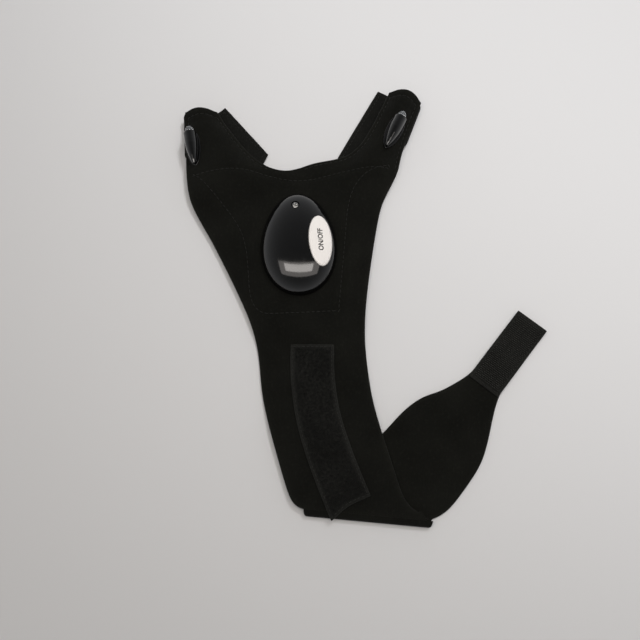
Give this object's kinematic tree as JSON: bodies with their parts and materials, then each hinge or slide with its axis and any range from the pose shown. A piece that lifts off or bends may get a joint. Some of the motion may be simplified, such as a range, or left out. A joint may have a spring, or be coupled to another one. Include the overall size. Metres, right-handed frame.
{
  "type": "torch glove",
  "caption": "Fingerless work glove with a thumb sleeve, an index sleeve, a light on each, an egg-shaped battery pod with a push button, and a hook-and-loop wrist strap.",
  "frame": {"origin": "on the table plane, under the middle of the pod, on the underside of the lining patch", "axes": "+Y from the wrist to the fingers, +X from the thumb side to the index side, +Z away from the back of the hand's fabric"},
  "size_m": [0.2204, 0.2742, 0.0187],
  "materials": {
    "knit_fabric": "matt black knit face on foam",
    "stretch_fabric": "matt black stretch knit",
    "loop_pile": "black brushed loop pile",
    "hook_tape": "black woven tape with fine hooks",
    "grey_plastic": "moulded dark grey ABS, matt",
    "gloss_black": "polished black ABS",
    "white_plastic": "white ABS, satin",
    "steel": "nickel-plated steel",
    "spring_metal": "spring brass sheet",
    "board_green": "green solder mask on glass-epoxy board",
    "chip_black": "black moulded epoxy",
    "resistor_tan": "tan lacquer",
    "clear_resin": "water-clear epoxy",
    "red_wire": "red PVC insulation",
    "black_wire": "black PVC insulation"
  },
  "bodies": {
    "root": {"dorsal_panel": "knit_fabric", "lining_patch": "stretch_fabric", "thumb_band": "stretch_fabric", "index_band": "stretch_fabric", "strap_fold": "knit_fabric", "loop_strip": "loop_pile", "pod_base": "grey_plastic", "circuit_board": "board_green", "switch_body": "grey_plastic", "control_chip": "chip_black", "resistor": "resistor_tan", "coin_cell_lower": "steel", "coin_cell_upper": "steel", "contact_positive": "spring_metal", "contact_negative": "spring_metal", "thumb_light_housing": "gloss_black", "thumb_led": "clear_resin", "thumb_light_base": "grey_plastic", "index_light_housing": "gloss_black", "index_led": "clear_resin", "index_light_base": "grey_plastic", "thumb_red_wire": "red_wire", "thumb_black_wire": "black_wire", "index_red_wire": "red_wire", "index_black_wire": "black_wire"},
    "cover": {"pod_cover": "gloss_black"},
    "screw": {"cover_screw": "steel"},
    "button": {"button": "white_plastic"},
    "plunger": {"switch_plunger": "white_plastic"},
    "tail": {"strap_tail": "knit_fabric", "hook_tab": "hook_tape"}
  },
  "joints": [
    {"name": "cover_lift", "type": "slide", "parent": "root", "child": "cover", "axis": [0, 0, 1], "range_m": [0, 0.025]},
    {"name": "screw_turn", "type": "hinge", "parent": "cover", "child": "screw", "pos_m": [-0.00206, 0.02154, 0.012], "axis": [0, 0, 1], "continuous": true},
    {"name": "button_press", "type": "slide", "parent": "cover", "child": "button", "axis": [0, 0, -1], "range_m": [0, 0.0008], "stiffness_N_per_m": 900},
    {"name": "plunger_press", "type": "slide", "parent": "root", "child": "plunger", "axis": [0, 0, -1], "range_m": [0, 0.0008]},
    {"name": "strap_unfold", "type": "hinge", "parent": "root", "child": "tail", "pos_m": [0.0392, -0.1614, 0.0026], "axis": [-0.9959, 0.0906, 0], "range_deg": [0, 175], "deforming": ["strap_fold"]}
  ],
  "couplings": [
    {"joint": "plunger_press", "follows": "button_press", "ratio": 1}
  ]
}
